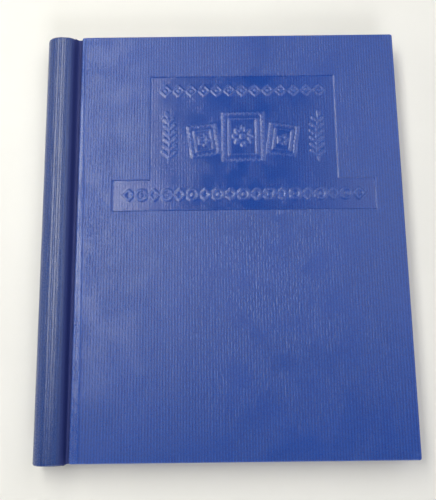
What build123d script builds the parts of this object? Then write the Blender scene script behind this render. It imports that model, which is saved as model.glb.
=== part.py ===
"""Spring-back loose-leaf stamp album, closed and lying on its rear cover. Millimetres.

+X runs from the spine to the fore-edge, +Y from the tail to the head, +Z up through the front cover.
The origin is the centre of the album's footprint, on the surface that it lies on.

A rolled steel spring back grips the leaves by their binding margins, between two levers. Each cover is a
cloth-covered board, hinged to its lever by the cloth of the joint, and the leaves bend just outside the
spring's lips. A leaf is one sheet: its gripped margin and the page that turns are two solids here, with the
short stretch that bends left out between them.
"""

import os
from math import cos, radians, sin, sqrt

from build123d import *

# Covers
BOARD_WIDTH = 203.0
BOARD_HEIGHT = 268.0
BOARD_CORE = 2.5
CLOTH = 0.4
FILL_CARD = 0.4
ENDPAPER = 0.2
COVER = CLOTH + BOARD_CORE + FILL_CARD + ENDPAPER
TURN_IN = 16.0
ENDPAPER_INSET = 3.5
CORNER_RADIUS = 1.4
FRONT_FACE = 19.1

# The panel pressed into the front cover: an upper rectangle standing on a longer strip
PANEL_DEPTH = 0.5
PANEL_FROM_SPINE = 44.9
PANEL_WIDTH = 118.3
PANEL_TOP_FROM_HEAD = 28.8
STRIP_FROM_SPINE = 21.7
STRIP_WIDTH = 164.2
STRIP_TOP_FROM_HEAD = 98.3
STRIP_HEIGHT = 19.9

# Spine roll
ROLL_RADIUS = 10.3
ROLL_TO_BOARD = 13.3
ROLL_TAIL_OVERHANG = 1.0
LINING = 0.9
SPRING = 0.7
INNER_LINING = 0.2
CLOTH_ANGLE = 40.0
ROLL_TURN_IN = 12.0

# Levers, joints and leaves
LEVER = 1.0
LEVER_WIDTH = 14.1
LEVER_FROM_BOARD = 4.2
INNER_HINGE = 0.25
INNER_HINGE_FROM_BOARD = 2.2
INNER_HINGE_WIDTH = 14.6
JOINT_DEPTH = 4.0
JOINT_FROM_BOARD = 1.2
LEVER_HEIGHT = 262.0
LEAF = 0.13
TITLE_LEAF = 0.2
LEAF_HEIGHT = 260.0
PACKS = 12
LEAVES_PER_PACK = 5
MARGIN_PITCH = 0.14
MARGIN_FROM_BOARD = 3.5
MARGIN_WIDTH = 15.0
PAGE_FROM_BOARD = 0.5
PAGE_SQUARE = 4.5
PAGE_CLEARANCE = 0.05
GRIP_CLEARANCE = 0.05
LIP_CLEARANCE = 0.15

# Places worked out from those sizes
WIDTH = BOARD_WIDTH + ROLL_TO_BOARD + ROLL_RADIUS
ROLL_HEIGHT = BOARD_HEIGHT + ROLL_TAIL_OVERHANG
BOARD_EDGE = WIDTH / 2 - BOARD_WIDTH
BOARD_MID_X = BOARD_EDGE + BOARD_WIDTH / 2
BOARD_MID_Y = ROLL_TAIL_OVERHANG / 2
BOARD_HEAD = BOARD_MID_Y + BOARD_HEIGHT / 2
ROLL_X = BOARD_EDGE - ROLL_TO_BOARD
ROLL_Z = ROLL_RADIUS
SPRING_OUTSIDE = ROLL_RADIUS - CLOTH - LINING
SPRING_INSIDE = SPRING_OUTSIDE - SPRING
ROLL_INSIDE = SPRING_INSIDE - INNER_LINING
MARGIN_HALF = PACKS * LEAVES_PER_PACK * MARGIN_PITCH / 2
HINGE_START = MARGIN_HALF + GRIP_CLEARANCE
LEVER_START = HINGE_START + INNER_HINGE
LIP_HALF = LEVER_START + LEVER + LIP_CLEARANCE
PAGE_LOW = COVER + PAGE_CLEARANCE
PAGE_PITCH = (FRONT_FACE - 2 * PAGE_LOW) / (PACKS * LEAVES_PER_PACK)


def block(x, y, z):
    """A box between pairs of coordinates, each given as (low, high)."""
    size = [high - low for low, high in (x, y, z)]
    middle = [(high + low) / 2 for low, high in (x, y, z)]
    return Pos(*middle) * Box(*size)


def across(middle, length):
    """The pair of coordinates of a length centred on a middle."""
    return middle - length / 2, middle + length / 2


def along_spine(face, length, middle=0.0):
    """A face drawn in X and Z, made into a solid of that length along Y."""
    return Pos(0, middle, 0) * extrude(Plane.XZ * face, amount=length / 2, both=True)


def slab(inset, z, spine_inset=None, corner=0.0):
    """A cover-sized slab, inset from the head, tail and fore-edge, and perhaps otherwise from the spine."""
    left = BOARD_EDGE + (inset if spine_inset is None else spine_inset)
    right = BOARD_EDGE + BOARD_WIDTH - inset
    box = block((left, right), across(BOARD_MID_Y, BOARD_HEIGHT - 2 * inset), z)
    return fillet(box.edges().filter_by(Axis.Z), corner) if corner else box


def pressed_panel(margin, z):
    """The space of the front cover's panel, grown by a margin all round."""
    upper_left = BOARD_EDGE + PANEL_FROM_SPINE - margin
    upper_right = BOARD_EDGE + PANEL_FROM_SPINE + PANEL_WIDTH + margin
    strip_left = BOARD_EDGE + STRIP_FROM_SPINE - margin
    strip_right = BOARD_EDGE + STRIP_FROM_SPINE + STRIP_WIDTH + margin
    strip_top = BOARD_HEAD - STRIP_TOP_FROM_HEAD
    upper = block((upper_left, upper_right), (strip_top, BOARD_HEAD - PANEL_TOP_FROM_HEAD + margin), z)
    strip = block((strip_left, strip_right), (strip_top - STRIP_HEIGHT - margin, strip_top + margin), z)
    return upper + strip


def cover_parts():
    """The rear cover's cloth, board, filling card and endpaper, from the outside in."""
    core = (CLOTH, CLOTH + BOARD_CORE)
    filled = (core[1], core[1] + FILL_CARD)
    board = slab(CLOTH, core, corner=CORNER_RADIUS - CLOTH)
    cloth = slab(0, (0, filled[1]), corner=CORNER_RADIUS) - board
    cloth -= slab(TURN_IN, filled, spine_inset=CLOTH)
    card = slab(TURN_IN + 0.5, filled, spine_inset=CLOTH)
    endpaper = slab(ENDPAPER_INSET, (filled[1], COVER), spine_inset=CLOTH)
    return {"cover_cloth": cloth, "board": board, "fill_card": card, "pastedown": endpaper}


def to_front(part):
    """A part of the rear cover, turned over to the front cover's place."""
    return Pos(0, 0, FRONT_FACE) * mirror(part, about=Plane.XY)


def front_cover_parts():
    """The front cover is the rear one turned over, with the panel pressed into its board and cloth."""
    parts = {name: to_front(part) for name, part in cover_parts().items()}
    floor = FRONT_FACE - PANEL_DEPTH
    parts["board"] -= pressed_panel(CLOTH, (floor - CLOTH, FRONT_FACE))
    lowered_cloth = pressed_panel(CLOTH, (floor - CLOTH, FRONT_FACE))
    parts["cover_cloth"] += lowered_cloth
    parts["cover_cloth"] -= pressed_panel(0, (floor, FRONT_FACE + CLOTH))
    return parts


def roll_ring(outside, inside, mouth_half):
    """A ring round the roll's axis, open towards the leaves between two level lips."""
    ring = Circle(outside) - Circle(inside)
    mouth = Pos(outside, 0) * Rectangle(2 * outside, 2 * mouth_half)
    return Pos(ROLL_X, ROLL_Z) * (ring - mouth)


def spine_parts():
    """The rolled spine, from the cloth inwards. Its cloth turns in over both ends."""
    cloth_mouth = ROLL_RADIUS * sin(radians(CLOTH_ANGLE))
    cover_inside = ROLL_RADIUS - CLOTH
    turned_inside = ROLL_INSIDE - CLOTH
    core_height = ROLL_HEIGHT - 2 * CLOTH
    cloth = along_spine(roll_ring(ROLL_RADIUS, cover_inside, cloth_mouth), ROLL_HEIGHT)
    for end in (-1, 1):
        rim_middle = end * (ROLL_HEIGHT - CLOTH) / 2
        cloth += along_spine(roll_ring(ROLL_RADIUS, turned_inside, cloth_mouth), CLOTH, rim_middle)
        flap_middle = end * (core_height - ROLL_TURN_IN) / 2
        cloth += along_spine(roll_ring(ROLL_INSIDE, turned_inside, cloth_mouth), ROLL_TURN_IN, flap_middle)
    return {
        "spine_cloth": cloth,
        "spine_lining": along_spine(roll_ring(cover_inside, SPRING_OUTSIDE, LIP_HALF), core_height),
        "spring_back": along_spine(roll_ring(SPRING_OUTSIDE, SPRING_INSIDE, LIP_HALF), core_height),
        "spring_inner_lining": along_spine(roll_ring(SPRING_INSIDE, ROLL_INSIDE, LIP_HALF), core_height),
    }


def joint_cloth(groove_z, outwards):
    """The free cloth of a joint, from the roll into the groove beside the board. Outwards is 1 or -1 in Z."""
    shoulder = ROLL_RADIUS * sin(radians(CLOTH_ANGLE)) - GRIP_CLEARANCE
    leaves_roll = Vector(ROLL_X + ROLL_RADIUS * cos(radians(CLOTH_ANGLE)), ROLL_Z + outwards * shoulder)
    in_groove = Vector(BOARD_EDGE - JOINT_FROM_BOARD, groove_z)
    inwards = (in_groove - leaves_roll).normalized().rotate(Axis.Z, -90 * outwards) * CLOTH
    section = Polygon(
        *[(p.X, p.Y) for p in (leaves_roll, in_groove, in_groove + inwards, leaves_roll + inwards)],
        align=None,
    )
    return along_spine(section, BOARD_HEIGHT, BOARD_MID_Y)


def lever_parts():
    """The front lever and the linen under it, which runs out towards the cover."""
    hinge_right = BOARD_EDGE - INNER_HINGE_FROM_BOARD
    lever_right = BOARD_EDGE - LEVER_FROM_BOARD
    height = across(BOARD_MID_Y, LEVER_HEIGHT)
    hinge_z = (ROLL_Z + HINGE_START, ROLL_Z + LEVER_START)
    lever_z = (hinge_z[1], hinge_z[1] + LEVER)
    return {
        "lever": block((lever_right - LEVER_WIDTH, lever_right), height, lever_z),
        "inner_hinge": block((hinge_right - INNER_HINGE_WIDTH, hinge_right), height, hinge_z),
    }


def to_rear(part):
    """A part of the front lever, turned over to the rear lever's place below the roll's axis."""
    return Pos(0, 0, 2 * ROLL_Z) * mirror(part, about=Plane.XY)


def leaf_margins():
    """The gripped margins of all the leaves, pressed together between the levers."""
    right = BOARD_EDGE - MARGIN_FROM_BOARD
    height = across(BOARD_MID_Y, LEAF_HEIGHT)
    lowest = ROLL_Z - MARGIN_HALF
    margins = []
    for number in range(PACKS * LEAVES_PER_PACK):
        low = lowest + number * MARGIN_PITCH
        margins.append(block((right - MARGIN_WIDTH, right), height, (low, low + LEAF)))
    return Compound(children=margins)


def page(low, thickness=LEAF):
    """The turning page of one leaf, whose underside is at that height."""
    x = (BOARD_EDGE - PAGE_FROM_BOARD, BOARD_EDGE + BOARD_WIDTH - PAGE_SQUARE)
    return block(x, across(BOARD_MID_Y, LEAF_HEIGHT), (low, low + thickness))


def leaf_parts():
    """Twelve packs of leaves, numbered from the front, with a title leaf before them and an end leaf after."""
    parts = {}
    last = PACKS * LEAVES_PER_PACK - 1
    lowest = PAGE_LOW + (PAGE_PITCH - LEAF) / 2
    for pack in range(PACKS):
        numbers = range(pack * LEAVES_PER_PACK, (pack + 1) * LEAVES_PER_PACK)
        lows = [lowest + (last - number) * PAGE_PITCH for number in numbers if 0 < number < last]
        parts[f"leaf_pack_{pack + 1:02d}"] = Compound(children=[page(low) for low in lows])
    parts["title_leaf"] = page(FRONT_FACE - PAGE_LOW - TITLE_LEAF, TITLE_LEAF)
    parts["end_leaf"] = page(PAGE_LOW, TITLE_LEAF)
    return parts


def album_parts():
    """Every node of the album, by name."""
    parts = spine_parts()
    parts["leaf_margins"] = leaf_margins()
    parts.update(leaf_parts())
    for name, part in lever_parts().items():
        parts[f"front_{name}"] = part
        parts[f"rear_{name}"] = to_rear(part)
    parts["front_joint_cloth"] = joint_cloth(FRONT_FACE - JOINT_DEPTH, 1)
    parts["rear_joint_cloth"] = joint_cloth(JOINT_DEPTH, -1)
    for name, part in front_cover_parts().items():
        parts[f"front_{name}"] = part
    for name, part in cover_parts().items():
        parts[f"rear_{name}"] = part
    return parts


if __name__ == "__main__":
    os.makedirs("parts", exist_ok=True)
    for node, shape in album_parts().items():
        export_step(shape, f"parts/{node}.step")
    margin_reach = sqrt((MARGIN_WIDTH + MARGIN_FROM_BOARD - ROLL_TO_BOARD) ** 2 + MARGIN_HALF**2)
    print(f"leaf pitch {PAGE_PITCH:.3f} mm, margins clear the roll's inside by {ROLL_INSIDE - margin_reach:.2f} mm")
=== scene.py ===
"""Looks of the stamp album: ribbed blue cloth over the boards and the spring roll, and paper leaves.

Everything is in metres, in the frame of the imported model: +X runs from the spine to the fore-edge, +Y from
the tail to the head, and +Z up through the front cover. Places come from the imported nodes.
"""
import math

import bmesh
import bpy
import numpy as np
from mathutils import Euler, Matrix, Vector


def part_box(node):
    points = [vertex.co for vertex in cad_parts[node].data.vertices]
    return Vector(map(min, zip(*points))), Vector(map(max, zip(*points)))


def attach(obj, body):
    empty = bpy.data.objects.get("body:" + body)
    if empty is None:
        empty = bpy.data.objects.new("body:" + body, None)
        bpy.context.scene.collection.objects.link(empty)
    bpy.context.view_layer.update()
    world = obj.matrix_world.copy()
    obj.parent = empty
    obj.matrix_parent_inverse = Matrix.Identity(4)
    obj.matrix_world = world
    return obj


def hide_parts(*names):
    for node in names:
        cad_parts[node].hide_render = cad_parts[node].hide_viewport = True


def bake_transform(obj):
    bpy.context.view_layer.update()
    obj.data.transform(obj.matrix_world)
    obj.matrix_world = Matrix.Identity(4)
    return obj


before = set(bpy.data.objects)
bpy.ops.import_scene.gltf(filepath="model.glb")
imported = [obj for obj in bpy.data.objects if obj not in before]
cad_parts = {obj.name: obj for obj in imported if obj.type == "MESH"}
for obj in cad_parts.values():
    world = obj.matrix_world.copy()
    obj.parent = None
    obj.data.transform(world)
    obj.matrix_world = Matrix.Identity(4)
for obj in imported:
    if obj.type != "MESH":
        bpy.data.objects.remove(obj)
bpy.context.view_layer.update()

MM = 0.001
rng = np.random.default_rng(7)

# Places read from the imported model
COVER_LOW, COVER_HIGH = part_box("front_cover_cloth")
REAR_LOW, REAR_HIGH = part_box("rear_cover_cloth")
ROLL_LOW, ROLL_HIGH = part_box("spine_cloth")
PAPER_LOW, PAPER_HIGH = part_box("leaf_pack_06")
MARGIN_LOW, MARGIN_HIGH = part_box("leaf_margins")
EDGE = COVER_LOW.x
FACE = COVER_HIGH.z
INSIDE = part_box("front_pastedown")[0].z
REAR_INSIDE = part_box("rear_pastedown")[1].z
ROLL_RADIUS = 10.3 * MM
ROLL_X = ROLL_LOW.x + ROLL_RADIUS
ROLL_Z = ROLL_RADIUS

# Sizes of the cloth and of what is under it
CLOTH = 0.4 * MM
ROLL_SQUARENESS = 0.07
ROLL_LEAN = 1.2 * MM
SHOULDER = math.radians(40)
RIB_PITCH = 1.73 * MM
RIB_HEIGHT = 0.08 * MM
WEFT_PITCH = 0.62 * MM
PANEL_DEPTH = 0.5 * MM
RELIEF = 0.34 * MM
LEAF = 0.13 * MM
BENT_LEAF = 0.09 * MM
END_LEAF = 0.18 * MM
LEAVES_PER_PACK = 5
PACKS = 12
LEAF_COUNT = PACKS * LEAVES_PER_PACK
MARGIN_PITCH = 0.14 * MM
PAGE_CLEARANCE = 0.05 * MM
BEND_START = MARGIN_HIGH.x + 0.2 * MM
BEND_END = MARGIN_HIGH.x + 3.2 * MM

# The pressed panel: an upper rectangle over a longer strip, from the spine edge and down from the head
UPPER_LEFT, UPPER_RIGHT = EDGE + 44.9 * MM, EDGE + 163.2 * MM
UPPER_TOP = COVER_HIGH.y - 28.8 * MM
STRIP_LEFT, STRIP_RIGHT = EDGE + 21.7 * MM, EDGE + 185.9 * MM
STRIP_TOP = COVER_HIGH.y - 98.3 * MM
STRIP_BOTTOM = STRIP_TOP - 19.9 * MM


# ---------------------------------------------------------------- materials


class Nodes:
    """A small hand on one material's node tree."""

    def __init__(self, name):
        self.material = bpy.data.materials.new(name)
        self.material.use_nodes = True
        self.tree = self.material.node_tree
        self.tree.nodes.clear()
        self.shader = self.tree.nodes.new("ShaderNodeBsdfPrincipled")
        output = self.tree.nodes.new("ShaderNodeOutputMaterial")
        self.tree.links.new(self.shader.outputs[0], output.inputs["Surface"])

    def add(self, kind, **settings):
        node = self.tree.nodes.new(kind)
        for key, value in settings.items():
            setattr(node, key, value)
        return node

    def feed(self, node, socket, value):
        """Links another node's output to a socket, or sets the socket's own value."""
        if isinstance(value, bpy.types.NodeSocket):
            self.tree.links.new(value, node.inputs[socket])
        else:
            node.inputs[socket].default_value = value

    def calc(self, operation, *values):
        node = self.add("ShaderNodeMath", operation=operation)
        for number, value in enumerate(values):
            self.feed(node, number, value)
        return node.outputs[0]

    def noise(self, coordinates, scale, detail=2.0, roughness=0.5, stretch=(1, 1, 1)):
        """Noise from 0 to 1, of features about 1/scale metres across, stretched along each axis."""
        mapping = self.add("ShaderNodeMapping")
        self.feed(mapping, "Vector", coordinates)
        mapping.inputs["Scale"].default_value = [scale / amount for amount in stretch]
        node = self.add("ShaderNodeTexNoise")
        self.feed(node, "Vector", mapping.outputs[0])
        self.feed(node, "Scale", 1.0)
        self.feed(node, "Detail", detail)
        self.feed(node, "Roughness", roughness)
        return node.outputs["Fac"]

    def ramp(self, value, low, high, out_low=0.0, out_high=1.0):
        """A smooth step of value, from out_low at low to out_high at high."""
        node = self.add("ShaderNodeMapRange", interpolation_type="SMOOTHSTEP")
        for socket, number in zip(
            ("From Min", "From Max", "To Min", "To Max"), (low, high, out_low, out_high)
        ):
            self.feed(node, socket, number)
        self.feed(node, "Value", value)
        return node.outputs[0]

    def mix(self, factor, a, b):
        node = self.add("ShaderNodeMix", data_type="RGBA")
        self.feed(node, 0, factor)
        for socket, value in ((6, a), (7, b)):
            self.feed(node, socket, (*value, 1.0) if isinstance(value, tuple) else value)
        return node.outputs[2]

    def bump(self, height, distance, strength=1.0):
        node = self.add("ShaderNodeBump")
        self.feed(node, "Height", height)
        self.feed(node, "Distance", distance)
        self.feed(node, "Strength", strength)
        return node.outputs[0]

    def flat_map(self):
        """The piece's own flat coordinates in metres, which bend with it: across the ribs, and along them."""
        return self.add("ShaderNodeUVMap", uv_map="flat").outputs[0]

    def attribute(self, name):
        return self.add("ShaderNodeAttribute", attribute_name=name).outputs["Fac"]


# Near-black navy painted into the joint groove and the faces running down into it: painted shade.
GROOVE_SHADE_COLOUR = (0.001, 0.013, 0.15)


def bookcloth(name, deep, wear_and_glint_tone, ribs=1.0):
    """Filled bookcloth with ribs along the spine's direction. It is glossier and flatter where it was
    pressed, and deep in the joints it is painted near-black navy and made rougher: painted shade. Its lighter
    tone marks wear, scuffs and rib tips, and also painted highlights and glints."""
    n = Nodes(name)
    flat = n.flat_map()
    parts = n.add("ShaderNodeSeparateXYZ")
    n.feed(parts, 0, flat)
    across, along = parts.outputs[0], parts.outputs[1]
    pressed = n.attribute("pressed")

    wander = n.noise(flat, 110, detail=2.0, stretch=(1, 4, 1))
    bent = n.calc("ADD", across, n.calc("MULTIPLY", wander, 1.0 * MM))
    wave = n.calc("SINE", n.calc("MULTIPLY", bent, 2 * math.pi / RIB_PITCH))
    breaks = n.noise(flat, 900, detail=3.0, roughness=0.7, stretch=(1, 1.5, 1))
    patches = n.noise(flat, 60, detail=2.0)
    broken = n.ramp(breaks, 0.43, 0.58, 0.05, 1.0)
    strength = n.calc("MULTIPLY", broken, n.ramp(patches, 0.35, 0.62, 0.45, 1.15))
    strength = n.calc("MULTIPLY", strength, n.calc("MULTIPLY_ADD", pressed, -0.65 * ribs, ribs))
    rib = n.calc("MULTIPLY", wave, strength)
    cross = n.calc("SINE", n.calc("MULTIPLY", along, 2 * math.pi / WEFT_PITCH))
    grain = n.noise(flat, 3200, detail=2.0, roughness=0.6)
    dent = n.noise(flat, 1400, detail=3.0, roughness=0.7)

    cloud = n.noise(flat, 22, detail=4.0, roughness=0.55)
    rub = n.noise(flat, 260, detail=5.0, roughness=0.7)
    colour = n.mix(n.ramp(cloud, 0.3, 0.7), tuple(0.92 * c for c in deep), tuple(1.08 * c for c in deep))
    colour = n.mix(n.ramp(rib, -0.35, 0.5, 0.0, 0.8), colour, wear_and_glint_tone)
    # Lighter specks at the dents: painted glints.
    colour = n.mix(n.ramp(dent, 0.47, 0.6, 0.0, 0.6), colour, wear_and_glint_tone)
    # Rubbed places take a lighter tone, and so do the painted highlights along the roll's top fold and the
    # ridge beside the spine.
    rubbed_and_highlit = n.calc("MULTIPLY", n.attribute("wear_and_highlight"), n.ramp(rub, 0.3, 0.7))
    colour = n.mix(rubbed_and_highlit, colour, tuple(c + 0.05 for c in wear_and_glint_tone))
    scuff = n.noise(flat, 75, detail=1.0, stretch=(6, 1, 1))
    colour = n.mix(n.ramp(scuff, 0.8, 0.86, 0.0, 0.3), colour, wear_and_glint_tone)
    # Painted shade: deep in the joint groove the colour goes to near-black navy, and the cloth is rougher
    # there.
    painted_groove_shade = n.attribute("painted_groove_shade")
    n.feed(n.shader, "Base Color", n.mix(painted_groove_shade, colour, GROOVE_SHADE_COLOUR))
    rough = n.calc("MULTIPLY_ADD", pressed, -0.15, n.ramp(dent, 0.4, 0.64, 0.38, 0.26))
    n.feed(n.shader, "Roughness", n.calc("MULTIPLY_ADD", painted_groove_shade, 0.45, rough))
    n.feed(n.shader, "Specular IOR Level", 0.72)
    n.feed(n.shader, "Sheen Weight", 0.06)
    n.feed(n.shader, "Sheen Roughness", 0.4)
    n.feed(n.shader, "Sheen Tint", (0.62, 0.68, 0.9, 1.0))
    height = n.calc("ADD", rib, n.calc("MULTIPLY", cross, 0.06))
    height = n.calc("ADD", height, n.calc("MULTIPLY", dent, 0.55))
    height = n.calc("ADD", height, n.calc("MULTIPLY", grain, 0.2))
    n.feed(n.shader, "Normal", n.bump(height, RIB_HEIGHT))
    return n.material


CLOUD_TONE = 0.94
FOXING = (0.55, 0.40, 0.24)
INK = (0.16, 0.19, 0.18)


def paper(name, colour, fibre=0.02 * MM, ruled=False, bends=True):
    """Uncoated paper with faint fibre and foxing. Ruled paper carries a fine square grid inside a border.
    Paper that bends takes its pattern from its own flat coordinates."""
    n = Nodes(name)
    flat = n.flat_map() if bends else n.add("ShaderNodeTexCoord").outputs["Object"]
    cloud = n.noise(flat, 30, detail=4.0)
    spots = n.noise(flat, 160, detail=2.0)
    fine = n.noise(flat, 2200, detail=3.0, roughness=0.65)
    tone = n.mix(n.ramp(cloud, 0.3, 0.7), tuple(CLOUD_TONE * c for c in colour), colour)
    tone = n.mix(n.ramp(spots, 0.74, 0.8, 0.0, 0.35), tone, FOXING)
    if ruled:
        tone = n.mix(ruling(n, flat), tone, INK)
    n.feed(n.shader, "Base Color", tone)
    n.feed(n.shader, "Roughness", n.ramp(fine, 0.3, 0.7, 0.8, 0.9))
    n.feed(n.shader, "Specular IOR Level", 0.25)
    n.feed(n.shader, "Normal", n.bump(fine, fibre, 0.6))
    return n.material


RULE_WIDTH = 0.3 * MM
QUADRILLE = 4.0 * MM
BORDER_X = (EDGE + 12.0 * MM, EDGE + 187.0 * MM)
BORDER_Y = (PAPER_LOW.y + 14.0 * MM, PAPER_HIGH.y - 18.0 * MM)


def ruling(n, flat):
    """The printed grid: a border of two rules round faint squares."""
    parts = n.add("ShaderNodeSeparateXYZ")
    n.feed(parts, 0, flat)
    x, y = parts.outputs[0], parts.outputs[1]
    from_border = []
    for value, (low, high) in ((x, BORDER_X), (y, BORDER_Y)):
        middle, half = (low + high) / 2, (high - low) / 2
        off_middle = n.calc("ABSOLUTE", n.calc("SUBTRACT", value, middle))
        from_border.append(n.calc("SUBTRACT", half, off_middle))
    inside = n.calc("MINIMUM", *from_border)
    lines = []
    for value in (x, y):
        nearest = n.calc("PINGPONG", value, QUADRILLE / 2)
        lines.append(n.calc("LESS_THAN", nearest, RULE_WIDTH / 2))
    grid = n.calc("MULTIPLY", n.calc("MAXIMUM", *lines), n.calc("GREATER_THAN", inside, 2.2 * MM))
    rules = []
    for offset, width in ((0.0, 0.8 * MM), (1.5 * MM, 0.4 * MM)):
        off_rule = n.calc("ABSOLUTE", n.calc("SUBTRACT", inside, offset))
        rules.append(n.calc("LESS_THAN", off_rule, width / 2))
    border = n.calc("MAXIMUM", *rules)
    return n.calc("MAXIMUM", n.calc("MULTIPLY", grid, 0.4), n.calc("MULTIPLY", border, 0.8))


def pulp_board(name, colour):
    """Pressed pulp board with coarse grey fibre."""
    n = Nodes(name)
    place = n.add("ShaderNodeTexCoord").outputs["Object"]
    coarse = n.noise(place, 900, detail=4.0, roughness=0.7)
    fine = n.noise(place, 4000, detail=2.0)
    dark = tuple(0.7 * c for c in colour)
    n.feed(n.shader, "Base Color", n.mix(n.ramp(coarse, 0.3, 0.7), dark, colour))
    n.feed(n.shader, "Roughness", n.ramp(fine, 0.3, 0.7, 0.75, 0.92))
    n.feed(n.shader, "Specular IOR Level", 0.3)
    n.feed(n.shader, "Normal", n.bump(coarse, 0.06 * MM, 0.6))
    return n.material


def blued_steel(name):
    """Rolled spring steel, oiled, with drawing lines along its length."""
    n = Nodes(name)
    flat = n.flat_map()
    lines = n.noise(flat, 3000, detail=3.0, roughness=0.7, stretch=(1, 60, 1))
    stain = n.noise(flat, 90, detail=5.0, roughness=0.65)
    blued, stained = (0.36, 0.38, 0.42), (0.22, 0.19, 0.17)
    n.feed(n.shader, "Base Color", n.mix(n.ramp(stain, 0.4, 0.7), blued, stained))
    n.feed(n.shader, "Metallic", 1.0)
    n.feed(n.shader, "Roughness", n.ramp(lines, 0.3, 0.7, 0.28, 0.46))
    n.feed(n.shader, "Normal", n.bump(lines, 0.01 * MM, 0.5))
    return n.material


THREAD_PITCH = 0.6 * MM


def linen(name):
    """Plain-woven hinge linen."""
    hollow, thread = (0.035, 0.05, 0.13), (0.075, 0.10, 0.22)
    radians_per_metre = 2 * math.pi / THREAD_PITCH
    n = Nodes(name)
    place = n.add("ShaderNodeTexCoord").outputs["Object"]
    parts = n.add("ShaderNodeSeparateXYZ")
    n.feed(parts, 0, place)
    threads = []
    for axis in (0, 1):
        threads.append(n.calc("SINE", n.calc("MULTIPLY", parts.outputs[axis], radians_per_metre)))
    weave = n.calc("MULTIPLY", *threads)
    n.feed(n.shader, "Base Color", n.mix(n.ramp(weave, -0.6, 0.6), hollow, thread))
    n.feed(n.shader, "Roughness", n.ramp(weave, -1, 1, 0.9, 0.75))
    n.feed(n.shader, "Sheen Weight", 0.2)
    n.feed(n.shader, "Normal", n.bump(weave, 0.05 * MM, 0.8))
    return n.material


def floor_paint(name):
    """Matt pale paint, faintly mottled."""
    n = Nodes(name)
    place = n.add("ShaderNodeTexCoord").outputs["Object"]
    mottle = n.noise(place, 9, detail=3.0)
    n.feed(n.shader, "Base Color", n.mix(n.ramp(mottle, 0.3, 0.7), (0.84, 0.84, 0.84), (0.87, 0.87, 0.87)))
    n.feed(n.shader, "Roughness", n.ramp(mottle, 0.3, 0.7, 0.8, 0.9))
    return n.material


LEAF_TONE = (0.64, 0.57, 0.44)
COVER_CLOTH = bookcloth("blue_bookcloth", (0.0015, 0.023, 0.225), (0.010, 0.086, 0.445))
ROLL_CLOTH = bookcloth("blue_bookcloth_rolled", (0.003, 0.021, 0.150), (0.026, 0.074, 0.29), ribs=0.7)
RULED_PAPER = paper("album_leaf_ruled", LEAF_TONE, ruled=True)
PLAIN_PAPER = paper("album_leaf_plain", LEAF_TONE)
TITLE_PAPER = paper("title_leaf_paper", (0.60, 0.52, 0.37))
END_PAPER = paper("pastedown_paper", (0.57, 0.49, 0.35), fibre=0.03 * MM, bends=False)
LINING_PAPER = paper("brown_lining_paper", (0.36, 0.27, 0.17), fibre=0.04 * MM)
CARD = pulp_board("brown_filling_card", (0.36, 0.27, 0.17))
GREY_BOARD = pulp_board("grey_pulp_board", (0.30, 0.28, 0.24))
LEVER_BOARD = pulp_board("dark_millboard", (0.17, 0.14, 0.11))
SPRING_STEEL = blued_steel("blued_spring_steel")
HINGE_LINEN = linen("hinge_linen")


# ---------------------------------------------------------------- mesh tools


def step(value, low, high):
    """Smooth step from 0 at low to 1 at high."""
    t = np.clip((value - low) / (high - low), 0, 1)
    return t * t * (3 - 2 * t)


def new_object(name, vertices, faces, materials, flat=None, smooth=True):
    """A mesh object. flat gives each vertex's own flat coordinates, kept as a UV map."""
    mesh = bpy.data.meshes.new(name)
    mesh.from_pydata([tuple(v) for v in np.asarray(vertices, float)], [], faces)
    if flat is not None:
        corners = np.empty(len(mesh.loops), dtype=np.int32)
        mesh.loops.foreach_get("vertex_index", corners)
        layer = mesh.uv_layers.new(name="flat")
        layer.data.foreach_set("uv", np.asarray(flat, float)[corners].astype(np.float32).ravel())
    mesh.shade_smooth() if smooth else mesh.shade_flat()
    for material in materials:
        mesh.materials.append(material)
    item = bpy.data.objects.new(name, mesh)
    bpy.context.scene.collection.objects.link(item)
    return item


def paint(item, name, values):
    """Keeps one number for each vertex, for the material to read."""
    layer = item.data.attributes.new(name, "FLOAT", "POINT")
    layer.data.foreach_set("value", np.asarray(values, np.float32))


def sheet_mesh(points, flat, thickness):
    """A closed thin solid round a surface given as a grid of points. Returns vertices, flat coordinates,
    faces, and for each face whether it is on the side that the surface's normals point to."""
    rows, columns = points.shape[:2]
    along = np.gradient(points, axis=0)
    around = np.gradient(points, axis=1)
    normals = np.cross(along, around)
    normals /= np.linalg.norm(normals, axis=2, keepdims=True)
    thickness = np.broadcast_to(np.asarray(thickness, float), (rows, columns))[..., None]
    vertices = np.concatenate(
        [(points + normals * thickness / 2).reshape(-1, 3), (points - normals * thickness / 2).reshape(-1, 3)]
    )
    number = np.arange(rows * columns).reshape(rows, columns)
    under = number + rows * columns
    faces, top = [], []

    def quads(a, b, c, d, is_top=False):
        for quad in zip(a.ravel(), b.ravel(), c.ravel(), d.ravel()):
            faces.append(tuple(int(v) for v in quad))
            top.append(is_top)

    quads(number[:-1, :-1], number[1:, :-1], number[1:, 1:], number[:-1, 1:], True)
    quads(under[:-1, :-1], under[:-1, 1:], under[1:, 1:], under[1:, :-1])
    quads(number[0, :-1], number[0, 1:], under[0, 1:], under[0, :-1])
    quads(number[-1, :-1], under[-1, :-1], under[-1, 1:], number[-1, 1:])
    quads(number[:-1, 0], under[:-1, 0], under[1:, 0], number[1:, 0])
    quads(number[:-1, -1], number[1:, -1], under[1:, -1], under[:-1, -1])
    return vertices, np.concatenate([flat.reshape(-1, 2)] * 2), faces, np.array(top)


def sheet_object(name, points, flat, thickness, material, edge_angle=40):
    vertices, flats, faces, _ = sheet_mesh(points, flat, thickness)
    item = new_object(name, vertices, faces, [material], flats)
    item.data.set_sharp_from_angle(angle=math.radians(edge_angle))
    return item


def path_lengths(line):
    return np.concatenate([[0], np.cumsum(np.linalg.norm(np.diff(line, axis=0), axis=1))])


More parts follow.
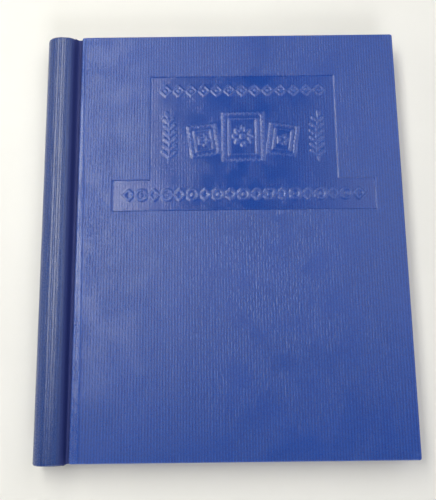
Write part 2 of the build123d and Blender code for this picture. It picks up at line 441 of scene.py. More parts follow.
def smooth_line(knots, count):
    """A smooth curve (Catmull-Rom) through a few given knots, with points evenly spread along it."""
    knots = np.asarray(knots, float)
    padded = np.vstack([2 * knots[0] - knots[1], knots, 2 * knots[-1] - knots[-2]])
    dense = []
    for a, b, c, d in zip(padded, padded[1:], padded[2:], padded[3:]):
        t = np.linspace(0, 1, 40, endpoint=False)[:, None]
        squared_part = (2 * a - 5 * b + 4 * c - d) * t**2
        cubed_part = (3 * b - a - 3 * c + d) * t**3
        dense.append(0.5 * (2 * b + (c - a) * t + squared_part + cubed_part))
    dense = np.vstack([*dense, knots[-1:]])
    lengths = path_lengths(dense)
    even = np.linspace(0, lengths[-1], count)
    return np.stack([np.interp(even, lengths, dense[:, k]) for k in range(dense.shape[1])], axis=1)


def ripple(x, y, size, seed):
    """A gentle uneven swell, about -1 to 1, whose waves are about size metres long."""
    waves = np.random.default_rng(seed)
    total = np.zeros(np.broadcast(x, y).shape)
    for _ in range(6):
        angle, phase = waves.uniform(0, 2 * math.pi, 2)
        length = size * waves.uniform(0.7, 1.8)
        total += np.sin((x * math.cos(angle) + y * math.sin(angle)) * 2 * math.pi / length + phase)
    return total / 4


# ---------------------------------------------------------------- the cover's raised ornament


def off_line(x, y, line):
    """Distance of grid points from a line of points."""
    nearest = np.full(x.shape, 1.0)
    for (ax, ay), (bx, by) in zip(line, line[1:]):
        dx, dy = bx - ax, by - ay
        t = np.clip(((x - ax) * dx + (y - ay) * dy) / (dx * dx + dy * dy + 1e-18), 0, 1)
        nearest = np.minimum(nearest, np.hypot(x - ax - t * dx, y - ay - t * dy))
    return nearest


def arc(cx, cy, radius, start, end, count=16):
    angles = np.linspace(math.radians(start), math.radians(end), count)
    return np.stack([cx + radius * np.cos(angles), cy + radius * np.sin(angles)], axis=1)


def sprig(cx, foot, height, hand):
    """A curved stem with pairs of leaves and one leaf at its tip."""

    def stem(t):
        return np.array([cx + hand * 0.16 * height * (t - 0.4) ** 2, foot + height * t])

    strokes = [([stem(t) for t in np.linspace(0, 1, 9)], 0.45 * MM)]
    for t in np.linspace(0.1, 0.84, 6):
        reach = (5.4 - 1.6 * t) * MM
        for side in (-1, 1):
            angle = math.radians(90 - side * 47)
            tip = stem(t) + reach * np.array([math.cos(angle), math.sin(angle)])
            strokes.append(([0.72 * stem(t) + 0.28 * tip, tip], 0.95 * MM))
    strokes.append(([stem(1.0), stem(1.06)], 0.95 * MM))
    return strokes


def stamp_outline(cx, cy, teeth_across, teeth_up, pitch, turn):
    """A blank stamp's edge, with a half-round bite at each perforation."""
    half = (teeth_across * pitch / 2, teeth_up * pitch / 2)
    corners = [(-half[0], -half[1]), (half[0], -half[1]), (half[0], half[1]), (-half[0], half[1])]
    points = []
    for side, teeth in enumerate((teeth_across, teeth_up, teeth_across, teeth_up)):
        heading = math.radians(90 * side)
        c, s = math.cos(heading), math.sin(heading)
        for tooth in range(teeth):
            points.append((corners[side][0] + tooth * pitch * c, corners[side][1] + tooth * pitch * s))
            for x, y in arc((tooth + 0.5) * pitch, 0, pitch * 0.27, 180, 0, 7):
                points.append((corners[side][0] + x * c - y * s, corners[side][1] + x * s + y * c))
    return turned(points + points[:1], cx, cy, turn)


def turned(points, cx, cy, turn):
    c, s = math.cos(math.radians(turn)), math.sin(math.radians(turn))
    return [(cx + x * c - y * s, cy + x * s + y * c) for x, y in points]


def box_line(cx, cy, width, height, turn=0.0):
    corners = [(-1, -1), (1, -1), (1, 1), (-1, 1), (-1, -1)]
    return turned([(a * width / 2, b * height / 2) for a, b in corners], cx, cy, turn)


def rosette(cx, cy, radius, petals):
    angles = np.linspace(0, 2 * math.pi, 12 * petals + 1)
    reach = radius * (1 + 0.24 * np.cos(petals * angles))
    return np.stack([cx + reach * np.cos(angles), cy + reach * np.sin(angles)], axis=1)


def bead_row(middle_x, y):
    """A row of small lozenges with a bead in each, along the panel's head."""
    strokes = []
    for number in range(-6, 7):
        cx = middle_x + number * 8.2 * MM
        strokes.append((box_line(cx, y, 4.9 * MM, 4.9 * MM, 45), 0.6 * MM))
        strokes.append((arc(cx, y, 0.5 * MM, 0, 360, 10), 0.5 * MM))
    return strokes


def stamps_and_sprigs(middle_x, y):
    """Three blank stamps between two sprigs of leaves."""
    strokes = [
        (stamp_outline(middle_x, y, 8, 10, 3.2 * MM, 0), 0.62 * MM),
        (box_line(middle_x, y, 17.5 * MM, 23.8 * MM), 0.55 * MM),
        (rosette(middle_x, y, 5.2 * MM, 8), 0.7 * MM),
        (arc(middle_x, y, 1.2 * MM, 0, 360, 12), 0.9 * MM),
    ]
    for hand in (-1, 1):
        cx, cy, lean = middle_x + hand * 25.0 * MM, y - 2.5 * MM, -hand * 8.0
        strokes.append((stamp_outline(cx, cy, 6, 7, 2.9 * MM, lean), 0.6 * MM))
        strokes.append((box_line(cx, cy, 10.5 * MM, 13.4 * MM, lean), 0.5 * MM))
        strokes.append((rosette(cx, cy, 2.7 * MM, 5), 0.6 * MM))
        strokes += sprig(middle_x + hand * 46.5 * MM, y - 16.5 * MM, 31 * MM, hand)
    return strokes


def ring_row(middle_x, y):
    """Rings and lozenges by turns, along the strip."""
    strokes = []
    for number in range(-9, 10):
        cx = middle_x + number * 8.0 * MM
        if number % 2:
            strokes.append((box_line(cx, y, 4.6 * MM, 4.6 * MM, 45), 0.8 * MM))
        else:
            strokes.append((arc(cx, y, 3.2 * MM, 0, 360, 28), 0.8 * MM))
            strokes.append((arc(cx, y, 0.4 * MM, 0, 360, 10), 0.7 * MM))
    return strokes


def ornament_strokes():
    """The raised lines in the panel, each as (line, half width)."""
    middle_x = (UPPER_LEFT + UPPER_RIGHT) / 2
    strokes = bead_row(middle_x, UPPER_TOP - 9.5 * MM)
    strokes += stamps_and_sprigs(middle_x, UPPER_TOP - 41.0 * MM)
    strokes += ring_row((STRIP_LEFT + STRIP_RIGHT) / 2, (STRIP_TOP + STRIP_BOTTOM) / 2 + 0.3 * MM)
    return strokes


def panel_height(x, y):
    """At each point: the face's height, how far the cloth is pressed (0 to 1), and how far raised again."""
    soft = 0.22 * MM

    def within(left, right, bottom, top):
        across = np.minimum(step(x, left - soft, left + soft), step(-x, -right - soft, -right + soft))
        up = np.minimum(step(y, bottom - soft, bottom + soft), step(-y, -top - soft, -top + soft))
        return np.minimum(across, up)

    upper = within(UPPER_LEFT, UPPER_RIGHT, STRIP_TOP - 2 * MM, UPPER_TOP)
    strip = within(STRIP_LEFT, STRIP_RIGHT, STRIP_BOTTOM, STRIP_TOP)
    pressed = np.maximum(upper, strip)
    height = -PANEL_DEPTH * pressed
    raised = np.zeros(x.shape)
    for line, half_width in ornament_strokes():
        line = np.asarray(line)
        reach = half_width + 1 * MM
        low, high = line.min(axis=0) - reach, line.max(axis=0) + reach
        near = (x > low[0]) & (x < high[0]) & (y > low[1]) & (y < high[1])
        distance = off_line(x[near], y[near], line)
        ridge = 1 - step(distance, half_width - 0.3 * MM, half_width + 0.35 * MM)
        raised[near] = np.maximum(raised[near], ridge)
    return height + RELIEF * raised * pressed, pressed, raised * pressed


# ---------------------------------------------------------------- covers

EDGE_ROUND = 0.7 * MM
CORNER_ROUND = 1.4 * MM

# How far each cover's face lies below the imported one, to leave room for its ridge and swell
FRONT_ROOM = 0.15 * MM
REAR_ROOM = 0.13 * MM


def lines_between(low, high, spacing):
    return np.linspace(low, high, max(2, round((high - low) / spacing) + 1))


def merge_lines(*groups, gap=0.13 * MM):
    """One sorted set of grid lines, without lines that nearly coincide."""
    kept = []
    for value in np.sort(np.concatenate([np.atleast_1d(g) for g in groups])):
        if not kept or value - kept[-1] > gap:
            kept.append(value)
    return np.array(kept)


def soft_corner(low, high, x, y):
    """Bends the square corners of an outline into round ones, together with the grid lines near them."""
    out_x, out_y = x.copy(), y.copy()
    for side_x, edge_x in ((-1, low.x), (1, high.x)):
        for side_y, edge_y in ((-1, low.y), (1, high.y)):
            a = 1 - side_x * (edge_x - x) / CORNER_ROUND
            b = 1 - side_y * (edge_y - y) / CORNER_ROUND
            near = (a > 0) & (b > 0)
            a, b = np.clip(a, 0, 1), np.clip(b, 0, 1)
            turned_x = edge_x - side_x * CORNER_ROUND * (1 - a * np.sqrt(1 - b * b / 2))
            turned_y = edge_y - side_y * CORNER_ROUND * (1 - b * np.sqrt(1 - a * a / 2))
            out_x, out_y = np.where(near, turned_x, out_x), np.where(near, turned_y, out_y)
    return out_x, out_y


def rim_walk(rows, columns):
    """The grid's border points as (row, column), once round."""
    walk = [(i, 0) for i in range(rows)]
    walk += [(rows - 1, j) for j in range(1, columns)]
    walk += [(i, columns - 1) for i in range(rows - 2, -1, -1)]
    walk += [(0, j) for j in range(columns - 2, 0, -1)]
    return walk


def cover_mesh(name, low, high, xs, ys, height_of, outward):
    """A cloth-covered board: a gridded outer face, a rounded edge all round, and a plain face inside.
    outward is 1 or -1 in Z. Each point's flat coordinates carry on down the edge, so the ribs do too."""
    outer_z, inner_z = (high.z, low.z) if outward > 0 else (low.z, high.z)
    square_x, square_y = np.meshgrid(xs, ys, indexing="ij")
    x, y = soft_corner(low, high, square_x, square_y)
    middle_x, middle_y = (low.x + high.x) / 2, (low.y + high.y) / 2
    half_x, half_y = (high.x - low.x) / 2, (high.y - low.y) / 2
    shrink = np.array([1 - EDGE_ROUND / half_x, 1 - EDGE_ROUND / half_y])
    inset_x = middle_x + (x - middle_x) * shrink[0]
    inset_y = middle_y + (y - middle_y) * shrink[1]
    z = outer_z + outward * height_of(inset_x, inset_y)[0]
    vertices = [np.stack([inset_x, inset_y, z], axis=2).reshape(-1, 3)]
    flats = [np.stack([inset_x, inset_y], axis=2).reshape(-1, 2)]
    number = np.arange(x.size).reshape(x.shape)
    quads = (number[:-1, :-1], number[1:, :-1], number[1:, 1:], number[:-1, 1:])
    faces = [tuple(int(v) for v in quad) for quad in zip(*(q.ravel() for q in quads))]
    walk = rim_walk(*x.shape)
    rim = np.array([(x[at], y[at]) for at in walk])
    rim_in = np.array([(inset_x[at], inset_y[at]) for at in walk])
    rim_z = np.array([z[at] for at in walk])
    outwards = rim - rim_in
    outwards /= np.linalg.norm(outwards, axis=1, keepdims=True)
    ring = np.array([number[at] for at in walk])
    levels = []
    for t in np.radians([22.5, 45, 67.5, 90]):
        drop = EDGE_ROUND * (1 - math.cos(t))
        levels.append((math.sin(t), rim_z - outward * drop, EDGE_ROUND * t))
    levels.append((1.0, np.full(len(rim), inner_z), abs(outer_z - inner_z)))
    for reach, level, travel in levels:
        lower_ring = np.arange(len(rim)) + sum(len(part) for part in vertices)
        vertices.append(np.column_stack([rim_in + (rim - rim_in) * reach, level]))
        flats.append(rim_in + outwards * travel)
        for quad in zip(ring, lower_ring, np.roll(lower_ring, -1), np.roll(ring, -1)):
            faces.append(tuple(int(v) for v in quad))
        ring = lower_ring
    faces.append(tuple(int(v) for v in ring))
    item = new_object(name, np.vstack(vertices), faces, [COVER_CLOTH], np.vstack(flats))
    bm = bmesh.new()
    bm.from_mesh(item.data)
    bmesh.ops.recalc_face_normals(bm, faces=bm.faces)
    bm.to_mesh(item.data)
    bm.free()
    return item


def dress_cover(item, node, body, low, high, height_of, outward):
    """Wear, painted highlights, painted shade and pressing for a cover's cloth, which takes its CAD node's
    place and hangs on its body.
    """
    mesh = item.data
    co = np.empty(len(mesh.vertices) * 3)
    mesh.vertices.foreach_get("co", co)
    co = co.reshape(-1, 3)
    outer_z = high.z if outward > 0 else low.z
    depth = np.abs(co[:, 2] - outer_z)
    to_fore, to_spine = high.x - co[:, 0], co[:, 0] - low.x
    to_end = np.minimum(high.y - co[:, 1], co[:, 1] - low.y)
    mesh.shade_smooth()
    mesh.set_sharp_from_angle(angle=math.radians(50))
    on_face = depth < 1.2 * MM
    _, pressed, rubbed_and_highlit = (np.where(on_face, value, 0) for value in height_of(co[:, 0], co[:, 1]))
    nearest, second = np.sort(np.stack([np.minimum(to_fore, to_spine), to_end]), axis=0)
    edge_wear = 0.45 * (1 - step(nearest, 0.2 * MM, 1.3 * MM)) * (1 - step(depth, 0.6 * MM, 1.5 * MM))
    corner_wear = 0.5 * (1 - step(np.hypot(nearest, second), 2 * MM, 7 * MM))
    paint(item, "pressed", pressed)
    paint(item, "wear_and_highlight", np.clip(rubbed_and_highlit + edge_wear + corner_wear, 0, 1))
    # The cover's wall at the spine edge, below its face, is painted near-black: painted shade in the groove.
    paint(item, "painted_groove_shade", step(depth, 0.5 * MM, 2.0 * MM) * (to_spine < 0.1 * MM))
    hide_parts(node)
    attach(item, body)


def spine_crease(y):
    """Where the cloth is creased beside the spine edge: nearer to the edge at the head than at the tail."""
    from_head = np.clip((COVER_HIGH.y - y) / (COVER_HIGH.y - COVER_LOW.y), 0, 1)
    return EDGE + (0.9 + 3.5 * (1 - (1 - from_head) ** 1.8)) * MM


def creased(x, line, depth):
    """A narrow ridge with a shallow crease on its fore-edge side."""
    ridge = np.exp(-(((x - line) / (0.33 * MM)) ** 2))
    valley = np.exp(-(((x - line - 1.0 * MM) / (0.5 * MM)) ** 2))
    return depth * (0.7 * ridge - valley)


def front_face(x, y):
    """Height, pressing, and rubbing with a painted highlight, of the front cover's face."""
    height, pressed, raised = panel_height(x, y)
    line = spine_crease(y)
    height = height + creased(x, line, 0.2 * MM) + 0.05 * MM * ripple(x, y, 110 * MM, 11)
    beside_spine = 0.55 * (1 - step(x, line, line + 1.2 * MM))
    # The raised ornament's tops are rubbed lighter, and the ridge beside the spine gets a light line: a
    # painted highlight.
    rubbed_and_highlit = 0.3 * raised + 0.9 * np.exp(-(((x - line) / (0.35 * MM)) ** 2))
    return height - FRONT_ROOM, np.maximum(pressed * (1 - 0.5 * raised), beside_spine), rubbed_and_highlit


def rear_face(x, y):
    """Height, pressing and rubbing of the rear cover's face, which has no panel."""
    height = creased(x, EDGE + 2.5 * MM, 0.12 * MM) + 0.03 * MM * ripple(x, y, 120 * MM, 12)
    none = np.zeros(np.broadcast(x, y).shape)
    return height - REAR_ROOM, none, none


def edge_lines(low, high):
    """Close grid lines for the rounded corners at both ends of a side."""
    near = np.array([0, 0.35, 0.7, 1.05, 1.4]) * MM
    return np.concatenate([low + near, high - near])


def build_covers():
    """Both covers. The front one has close grid lines at its panel, for the walls and the raised lines."""
    near_spine = lines_between(EDGE + 1.7 * MM, EDGE + 6.5 * MM, 0.3 * MM)
    wall = np.array([-0.22, 0, 0.22]) * MM
    walls_x = np.concatenate([at + wall for at in (UPPER_LEFT, UPPER_RIGHT, STRIP_LEFT, STRIP_RIGHT)])
    walls_y = np.concatenate([at + wall for at in (UPPER_TOP, STRIP_TOP, STRIP_BOTTOM)])
    fine = 0.5 * MM
    xs = merge_lines(
        edge_lines(EDGE, COVER_HIGH.x),
        near_spine,
        lines_between(EDGE + 9 * MM, STRIP_LEFT - 2 * MM, 3 * MM),
        walls_x,
        lines_between(STRIP_LEFT - 1 * MM, STRIP_RIGHT + 1 * MM, fine),
        lines_between(STRIP_RIGHT + 3 * MM, COVER_HIGH.x - 3 * MM, 3 * MM),
    )
    ys = merge_lines(
        edge_lines(COVER_LOW.y, COVER_HIGH.y),
        lines_between(COVER_LOW.y + 4 * MM, STRIP_BOTTOM - 2 * MM, 3 * MM),
        walls_y,
        lines_between(STRIP_BOTTOM - 1 * MM, UPPER_TOP + 1 * MM, fine),
        lines_between(UPPER_TOP + 3 * MM, COVER_HIGH.y - 4 * MM, 4 * MM),
    )
    item = cover_mesh("front_cover_bookcloth", COVER_LOW, COVER_HIGH, xs, ys, front_face, 1)
    dress_cover(item, "front_cover_cloth", "front_cover", COVER_LOW, COVER_HIGH, front_face, 1)
    beyond_spine = lines_between(EDGE + 9 * MM, REAR_HIGH.x - 3 * MM, 3 * MM)
    xs = merge_lines(edge_lines(EDGE, REAR_HIGH.x), near_spine, beyond_spine)
    between_ends = lines_between(REAR_LOW.y + 4 * MM, REAR_HIGH.y - 4 * MM, 4 * MM)
    ys = merge_lines(edge_lines(REAR_LOW.y, REAR_HIGH.y), between_ends)
    item = cover_mesh("rear_cover_bookcloth", REAR_LOW, REAR_HIGH, xs, ys, rear_face, -1)
    dress_cover(item, "rear_cover_cloth", "rear_cover", REAR_LOW, REAR_HIGH, rear_face, -1)


# ---------------------------------------------------------------- spine roll


# The folds in the roll's cloth stand CREST_GAIN times as high as its wobble, and the steel's lips lie
# LIP_HEIGHT above and below the roll's middle.
ROLL_WOBBLE = 0.035 * MM
CREST_GAIN = 4.5
CLOTH_RADIUS = 10.1 * MM
TURN_IN_RADIUS = 7.9 * MM
TURN_IN = 12 * MM
LIP_HEIGHT = 5.65 * MM
STEEL_RADIUS = 8.65 * MM


def roll_shift(y):
    """How far the roll stands nearer to the boards: nothing at the head, and ROLL_LEAN at the tail."""
    return ROLL_LEAN * np.clip((ROLL_HIGH.y - y) / (ROLL_HIGH.y - ROLL_LOW.y), 0, 1)


def squared(radius, angle):
    """The roll's section is a little squarer than a circle."""
    return radius * (1 + ROLL_SQUARENESS * np.sin(2 * angle) ** 2)


def crest(angle):
    """The cloth's lengthwise folds: a sharp one along the top, and a fainter one towards the joint."""
    return np.exp(-(((angle - 1.62) / 0.045) ** 2)) + 0.45 * np.exp(-(((angle - 1.2) / 0.05) ** 2))


def roll_points(angles, path, wobble=0.0):
    """Points round the roll: angles from the fore-edge direction, and a path of (radius, y)."""
    a = angles[:, None]
    radius, y = path[None, :, 0], path[None, :, 1]
    swell = ripple(a * 8 * MM, y, 26 * MM, 21) + 0.6 * ripple(a * 8 * MM, y * 0.15, 5 * MM, 22)
    radius = squared(radius, a) + wobble * (swell + CREST_GAIN * crest(a))
    x = ROLL_X + roll_shift(y) + radius * np.cos(a)
    return np.stack([x, np.broadcast_to(y, radius.shape), ROLL_Z + radius * np.sin(a)], axis=2)


def turned_in_path(outside, inside, low, high, flap):
    """The cloth's path along the roll: a flap inside, round one end, along the outside, and in again."""
    middle, rim = (outside + inside) / 2, (outside - inside) / 2
    ends = []
    for end, way in ((low, -1), (high, 1)):
        turn = np.linspace(-math.pi / 2, math.pi / 2, 11)
        around = np.stack([middle + rim * np.sin(turn), end - way * rim + way * rim * np.cos(turn)], axis=1)
        flap_y = np.linspace(end - way * flap, end - way * rim * 1.6, 4)
        inner = np.stack([np.full(4, inside), flap_y], axis=1)
        ends.append(np.vstack([inner, around]))
    body = np.stack([np.full(60, outside), np.linspace(low + rim * 1.6, high - rim * 1.6, 60)], axis=1)
    return np.vstack([ends[0], body, ends[1][::-1]])


def roll_piece(name, side, path, first, thickness, material, node, slot, wobble=0.0):
    """Half of one layer of the roll, from its back round to the lip on that side."""
    way = 1 if side == "front" else -1
    angles = np.linspace(math.pi, way * first if way > 0 else 2 * math.pi - first, 84)
    points = roll_points(angles, path, wobble)
    across = np.abs(angles - math.pi) * ROLL_RADIUS
    flat = np.stack(np.meshgrid(across, path_lengths(path), indexing="ij"), axis=2)
    item = sheet_object(name, points, flat, thickness, material, 55)
    if material == ROLL_CLOTH:
        from_lip = np.abs(angles - angles[-1])
        # A lighter streak along the front half's top fold: partly wear, partly a painted highlight.
        rubbed_and_highlit = 0.85 * crest(angles) if way > 0 else 0 * angles
        paint_rows(item, points, "wear_and_highlight", rubbed_and_highlit)
        paint_rows(item, points, "pressed", np.full(len(angles), 0.45))
        # The roll's flank nearest the lip, running down into the groove, is painted near-black: painted
        # shade.
        paint_rows(item, points, "painted_groove_shade", 1 - step(from_lip, 0.02, 0.45))
    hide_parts(node)
    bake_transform(item)


def paint_rows(item, points, name, values):
    """Paints a sheet with one value for each row of its grid."""
    rows = np.broadcast_to(np.asarray(values)[:, None], points.shape[:2]).ravel()
    paint(item, name, np.concatenate([rows, rows]))


def build_roll():
    """The cloth, the lining, the steel and the inner lining, each as a front half and a rear half."""
    steel_low, steel_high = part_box("spring_back")
    lip = math.asin(LIP_HEIGHT / STEEL_RADIUS)
    layers = (
        ("spine_lining_paper", "spine_lining", "spine_paper", 9.45 * MM, 0.88 * MM, LINING_PAPER),
        ("spring_steel", "spring_back", "spring_steel", STEEL_RADIUS, 0.68 * MM, SPRING_STEEL),
        ("inner_lining_paper", "spring_inner_lining", "inner_paper", 8.2 * MM, 0.18 * MM, LINING_PAPER),
    )
    cloth_ends = (ROLL_LOW.y + CLOTH / 2, ROLL_HIGH.y - CLOTH / 2)
    cloth_path = turned_in_path(CLOTH_RADIUS, TURN_IN_RADIUS, *cloth_ends, TURN_IN)
    cloth = (SHOULDER, CLOTH, ROLL_CLOTH, "spine_cloth", "blue_cloth", ROLL_WOBBLE)
    layer_y = np.linspace(steel_low.y + 1.2 * MM, steel_high.y - 1.2 * MM, 8)
    for side in ("front", "rear"):
        roll_piece(f"spine_bookcloth_{side}", side, cloth_path, *cloth)
        for name, node, slot, radius, thickness, material in layers:
            path = np.stack([np.full(8, radius), layer_y], axis=1)
            roll_piece(f"{name}_{side}", side, path, lip, thickness, material, node, slot)


# ---------------------------------------------------------------- joints


def joint_line(side):
    """The joint cloth's middle line, in x and z: from the roll's shoulder down into the groove and up to
    the board. The knots give the distance past the board's edge and the depth below its face, in mm."""
    way, face = (1, FACE) if side == "front" else (-1, REAR_LOW.z)
    radius = squared(ROLL_RADIUS - CLOTH / 2, SHOULDER)
    shoulder = (ROLL_X + radius * math.cos(SHOULDER), ROLL_Z + way * radius * math.sin(SHOULDER))
    if side == "front":
        groove = [(-4.3, 2.9), (-3.6, 3.7), (-2.9, 4.15), (-2.1, 4.3)]
    else:
        groove = [(-4.2, 4.15), (-3.2, 4.3), (-2.2, 4.3)]
    up_to_board = [(-1.2, 4.15), (-0.4, 3.75), (0.35, 3.2)]
    knots = [(EDGE + past * MM, face - way * depth * MM) for past, depth in groove + up_to_board]
    return smooth_line([shoulder, *knots], 44)


def build_joints():
    """The joint cloth on each side, from the roll to the cover."""
    for side in ("front", "rear"):
        way, face = (1, FACE) if side == "front" else (-1, REAR_LOW.z)
        line = joint_line(side)
        along = (path_lengths(line) / path_lengths(line)[-1])[:, None]
        low = ROLL_LOW.y + (COVER_LOW.y - ROLL_LOW.y) * step(along, 0, 0.8)
        high = ROLL_HIGH.y + (COVER_HIGH.y - ROLL_HIGH.y) * step(along, 0, 0.8)
        y = low + (high - low) * np.linspace(0, 1, 60)[None, :]
        x = line[:, :1] + roll_shift(y) * (1 - step(along, 0.0, 0.75))
        z = line[:, 1:] + 0.04 * MM * ripple(x, y, 30 * MM, 31) * step(along, 0, 0.2)
        points = np.stack([x, y, z], axis=2)
        flat = np.stack([np.broadcast_to(along * path_lengths(line)[-1], y.shape), y], axis=2)
        item = sheet_object(f"{side}_joint_bookcloth", points, flat, CLOTH, ROLL_CLOTH, 60)
        paint_rows(item, points, "wear_and_highlight", np.zeros(len(line)))
        paint_rows(item, points, "pressed", np.full(len(line), 0.6))
        # The whole joint cloth is painted near-black: painted shade in the groove.
        paint_rows(item, points, "painted_groove_shade", np.ones(len(line)))
        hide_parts(f"{side}_joint_cloth")
        z = face - way * 4 * MM
        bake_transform(item)


# ---------------------------------------------------------------- leaves


def leaf_surface(number):
    """One leaf's middle surface. Leaves are numbered from the rear. It leaves the grip at one height and
    settles to another in the page area."""
    margin_z = ROLL_Z + (number - (LEAF_COUNT - 1) / 2) * MARGIN_PITCH
    low, high = REAR_INSIDE + PAGE_CLEARANCE, INSIDE - PAGE_CLEARANCE
    pitch = (high - low) / LEAF_COUNT
    page_z = low + (number + 0.5) * pitch
    bend = np.linspace(BEND_START, BEND_END, 26)
    settle = np.linspace(EDGE + 0.6 * MM, EDGE + 16 * MM, 12)
    fore = PAPER_HIGH.x + rng.uniform(-0.35, 0.1) * MM
    page = np.linspace(EDGE + 24 * MM, fore, 10)
    x = np.concatenate([np.linspace(MARGIN_LOW.x, MARGIN_HIGH.x, 4), bend, settle, page])
    z = margin_z + (page_z - margin_z) * step(x, EDGE - 0.8 * MM, EDGE + 14 * MM)
    shift = rng.uniform(-0.25, 0.25) * MM
    y = np.linspace(PAPER_LOW.y, PAPER_HIGH.y, 12) + shift
    sag = 0.02 * MM * ripple(x[:, None], y[None, :], 90 * MM, 40)
    z = z[:, None] + sag * step(x, EDGE + 10 * MM, EDGE + 40 * MM)[:, None]
    points = np.stack([np.broadcast_to(x[:, None], z.shape), np.broadcast_to(y, z.shape), z], axis=2)
    return points, points[..., :2].copy()


def leaf_thickness(x, thickness):
    """Thinner round the bend, where turned leaves lie closest together, so that each clears the next."""
    gripped = min(thickness, LEAF)
    near_grip = gripped + (BENT_LEAF - gripped) * step(x, MARGIN_HIGH.x, MARGIN_HIGH.x + 0.4 * MM)
    return near_grip + (thickness - near_grip) * step(x, EDGE + 2 * MM, EDGE + 14 * MM)


def leaf_object(name, numbers, node, body, thickness, printed, plain, slot):
    """Some leaves as one piece. The upper face of each is printed."""
    vertices, flats, faces, tops = [], [], [], []
    for number in numbers:
        points, flat = leaf_surface(number)
        v, f, quads, top = sheet_mesh(points, flat, leaf_thickness(points[..., 0], thickness))
        start = sum(len(part) for part in vertices)
        faces += [tuple(start + k for k in quad) for quad in quads]
        vertices.append(v)
        flats.append(f)
        tops.append(top)
    item = new_object(name, np.vstack(vertices), faces, [printed, plain], np.vstack(flats))
    item.data.polygons.foreach_set("material_index", np.where(np.concatenate(tops), 0, 1).astype(np.int32))
    item.data.set_sharp_from_angle(angle=math.radians(45))
    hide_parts(node, "leaf_margins")
    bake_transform(item)


def build_leaves():
    """The packs from the front to the rear, then the title leaf and the end leaf that lie outside them."""
    last = LEAF_COUNT - 1
    for pack in range(PACKS):
        name = f"leaf_pack_{pack + 1:02d}"
        numbers = [last - k for k in range(pack * LEAVES_PER_PACK, (pack + 1) * LEAVES_PER_PACK)]
        numbers = [k for k in numbers if 0 < k < last]
        leaf_object(f"{name}_sheets", numbers, name, name, LEAF, RULED_PAPER, PLAIN_PAPER, "leaf_paper")
    finish = (END_LEAF, TITLE_PAPER, TITLE_PAPER, "title_paper")
    leaf_object("title_leaf_sheet", [last], "title_leaf", "title_leaf", *finish)
    leaf_object("end_leaf_sheet", [0], "end_leaf", "end_leaf", *finish)


# ---------------------------------------------------------------- nodes kept as they are


def dress_nodes():
    """Materials for the CAD nodes that keep their shape."""
    plain = {
        "board": GREY_BOARD,
        "fill_card": CARD,
        "pastedown": END_PAPER,
        "lever": LEVER_BOARD,
        "inner_hinge": HINGE_LINEN,
    }
    for side in ("front", "rear"):
        for part, material in plain.items():
            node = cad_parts[f"{side}_{part}"]
            node.data.materials.clear()
            node.data.materials.append(material)


# ---------------------------------------------------------------- stage, light and camera


WARM = (0.97, 0.95, 0.84)
NEUTRAL = (1.0, 0.99, 0.97)
WORLD_LIGHT = 0.07
HORIZON_LIGHT = 0.6
FLOOR_RADIUS = 1.5
FLOOR_GAP = 0.05 * MM
LIGHTS = [
    ("left_panel", (-0.34, 0.36, 0.8), (-0.34, 0.36, 0.0), (0.28, 0.92), 6.3, WARM),
    ("right_panel", (0.56, 0.35, 0.8), (0.56, 0.35, 0.0), (0.64, 0.9), 3.2, NEUTRAL),
    ("head_panel", (0.05, 1.05, 0.8), (0.05, 0.9, 0.0), (1.4, 0.5), 0.4, NEUTRAL),
    ("left_low", (-1.1, 0.2, 0.5), (0.0, 0.0, 0.0), (1.3, 0.5), 2.4, WARM),
    ("ceiling", (0.0, 0.2, 3.0), (0.0, 0.2, 0.0), (9.0, 9.0), 25.0, NEUTRAL),
    ("tail_low", (0.3, -2.1, 1.4), (0.0, 0.0, 0.0), (1.2, 0.8), 22.0, NEUTRAL),
]


def area_light(name, place, aim, size, power, colour):
    data = bpy.data.lights.new(name, "AREA")
    data.shape, data.size, data.size_y = "RECTANGLE", *size
    data.energy, data.color = power, colour
    item = bpy.data.objects.new(name, data)
    item.location = place
    item.visible_camera = False
    item.rotation_euler = (Vector(aim) - Vector(place)).to_track_quat("-Z", "Y").to_euler()
    bpy.context.scene.collection.objects.link(item)


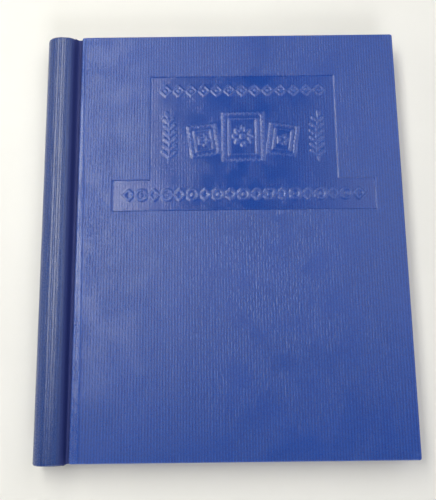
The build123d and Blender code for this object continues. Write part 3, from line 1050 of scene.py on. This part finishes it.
def build_world():
    """Pale light from all round, brighter towards the horizon."""
    world = bpy.data.worlds.new("studio")
    world.use_nodes = True
    tree = world.node_tree
    direction = tree.nodes.new("ShaderNodeTexCoord")
    parts = tree.nodes.new("ShaderNodeSeparateXYZ")
    fade = tree.nodes.new("ShaderNodeMapRange")
    fade.interpolation_type = "SMOOTHSTEP"
    limits = {"From Min": 0.02, "From Max": 0.4, "To Min": HORIZON_LIGHT, "To Max": WORLD_LIGHT}
    for socket, value in limits.items():
        fade.inputs[socket].default_value = value
    background = tree.nodes["Background"]
    background.inputs["Color"].default_value = (1.0, 1.0, 1.0, 1.0)
    tree.links.new(direction.outputs["Generated"], parts.inputs[0])
    tree.links.new(parts.outputs[2], fade.inputs["Value"])
    tree.links.new(fade.outputs[0], background.inputs["Strength"])
    bpy.context.scene.world = world


def build_stage():
    """A round pale floor, the world's light and the studio's panels."""
    rim = arc(0.0, 0.0, FLOOR_RADIUS, 0, 360, 129)[:-1]
    corners = [(x, y, 0.0) for x, y in rim]
    paint_finish = [floor_paint("pale_floor")]
    floor = new_object("studio_floor", corners, [tuple(range(len(rim)))], paint_finish, smooth=False)
    floor.location.z = -FLOOR_GAP
    build_world()
    for name, place, aim, size, power, colour in LIGHTS:
        area_light(name, place, aim, size, power, colour)
    bpy.data.objects["ceiling"].visible_glossy = False
    bpy.context.scene.view_settings.view_transform = "Standard"


CAMERA_FROM_BOARD = Vector((-14.3, -88.4, 386.8)) * MM
CAMERA_TURN = Euler([math.radians(a) for a in (11.532, 0.132, -0.659)], "XYZ")
LENS = 46.45


def build_camera():
    """Looking down on the album from its tail side."""
    data = bpy.data.cameras.new("camera")
    data.lens, data.sensor_width, data.sensor_fit = LENS, 36.0, "AUTO"
    data.clip_start, data.clip_end = 0.01, 20.0
    item = bpy.data.objects.new("camera", data)
    board_middle = Vector(((COVER_LOW.x + COVER_HIGH.x) / 2, (COVER_LOW.y + COVER_HIGH.y) / 2, FACE))
    place = Matrix.Translation(board_middle + CAMERA_FROM_BOARD)
    item.matrix_world = place @ CAMERA_TURN.to_matrix().to_4x4()
    bpy.context.scene.collection.objects.link(item)
    bpy.context.scene.camera = item


build_covers()
build_roll()
build_joints()
build_leaves()
dress_nodes()
build_stage()
build_camera()
